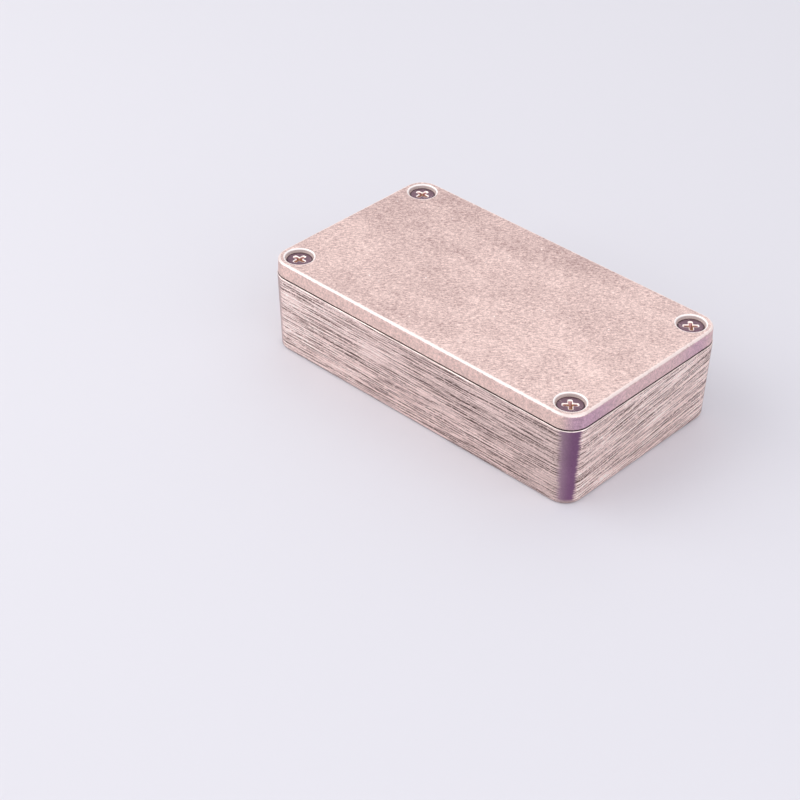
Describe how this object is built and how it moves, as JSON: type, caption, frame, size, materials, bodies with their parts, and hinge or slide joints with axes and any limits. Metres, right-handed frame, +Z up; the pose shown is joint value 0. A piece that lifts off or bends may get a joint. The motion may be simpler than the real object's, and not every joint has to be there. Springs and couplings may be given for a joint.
{
  "type": "die cast aluminium box",
  "caption": "Small rectangular die cast aluminium enclosure with round corners, a sealed flat lid, and countersunk cross-recess screws in the lid's corners.",
  "frame": {"origin": "under the middle of the base, on the plane that it stands on", "axes": "+X along the length, +Y across the width towards the rear, +Z up through the lid"},
  "size_m": [0.115, 0.065, 0.03],
  "materials": {
    "base_casting": "brushed",
    "lid_casting": "satin",
    "gasket_rubber": "matte",
    "screw_steel": "satin"
  },
  "bodies": {
    "base": {"base": "base_casting"},
    "lid": {"lid": "lid_casting", "gasket": "gasket_rubber"},
    "screw_front_left": {"lid_screw_front_left": "screw_steel"},
    "screw_front_right": {"lid_screw_front_right": "screw_steel"},
    "screw_rear_left": {"lid_screw_rear_left": "screw_steel"},
    "screw_rear_right": {"lid_screw_rear_right": "screw_steel"}
  },
  "joints": [
    {"name": "lid_lift", "type": "slide", "parent": "base", "child": "lid", "axis": [0, 0, 1], "range_m": [0, 0.06]},
    {"name": "screw_turn_front_left", "type": "hinge", "parent": "lid", "child": "screw_front_left", "pos_m": [-0.051, -0.026, 0.0291], "axis": [0, 0, 1], "continuous": true},
    {"name": "screw_turn_front_right", "type": "hinge", "parent": "lid", "child": "screw_front_right", "pos_m": [0.051, -0.026, 0.0291], "axis": [0, 0, 1], "continuous": true},
    {"name": "screw_turn_rear_left", "type": "hinge", "parent": "lid", "child": "screw_rear_left", "pos_m": [-0.051, 0.026, 0.0291], "axis": [0, 0, 1], "continuous": true},
    {"name": "screw_turn_rear_right", "type": "hinge", "parent": "lid", "child": "screw_rear_right", "pos_m": [0.051, 0.026, 0.0291], "axis": [0, 0, 1], "continuous": true}
  ]
}
